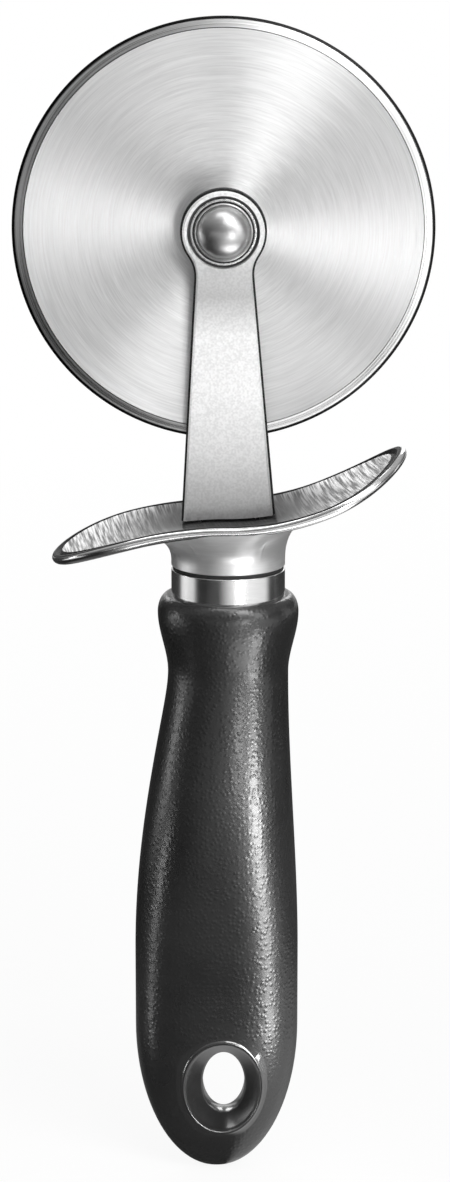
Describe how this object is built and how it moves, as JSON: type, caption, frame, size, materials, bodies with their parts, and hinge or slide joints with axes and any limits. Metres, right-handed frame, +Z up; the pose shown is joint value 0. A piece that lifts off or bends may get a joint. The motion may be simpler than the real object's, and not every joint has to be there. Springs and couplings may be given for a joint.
{
  "type": "pizza cutter",
  "caption": "Hand-held pizza cutter: round steel blade spinning on a riveted fork, S-shaped thumb guard, polished ferrule and contoured soft grip with an oval hang hole.",
  "frame": {"origin": "centre of the hang hole, halfway through the handle's thickness", "axes": "+X to the right as seen from the front arm's side, +Y along the hang hole and away from the front arm, +Z up the tool from the hang hole to the blade"},
  "size_m": [0.0635, 0.0234, 0.1805],
  "materials": {
    "blade_steel": "circular brushed stainless with a ground bevel",
    "arm_steel": "satin stainless",
    "polished_steel": "polished",
    "guard_metal": "polished, softly reflecting",
    "hub_polymer": "slippery natural polymer",
    "core_plastic": "moulded",
    "grip_rubber": "satin soft touch"
  },
  "bodies": {
    "handle": {"axle_rivet": "polished_steel", "axle_cap": "polished_steel", "seat_washer_front": "polished_steel", "seat_washer_rear": "polished_steel", "fork_arm_front": "arm_steel", "fork_arm_rear": "arm_steel", "tang_spacer": "arm_steel", "tang_pins": "arm_steel", "thumb_guard": "guard_metal", "neck_seal": "grip_rubber", "ferrule": "guard_metal", "handle_core": "core_plastic", "grip_sleeve": "grip_rubber"},
    "wheel": {"cutting_blade": "blade_steel", "hub_bush": "hub_polymer", "hub_washer_front": "hub_polymer", "hub_washer_rear": "hub_polymer"}
  },
  "joints": [
    {"name": "blade_spin", "type": "hinge", "parent": "handle", "child": "wheel", "pos_m": [0, 0, 0.1345], "axis": [0, 1, 0], "continuous": true}
  ]
}
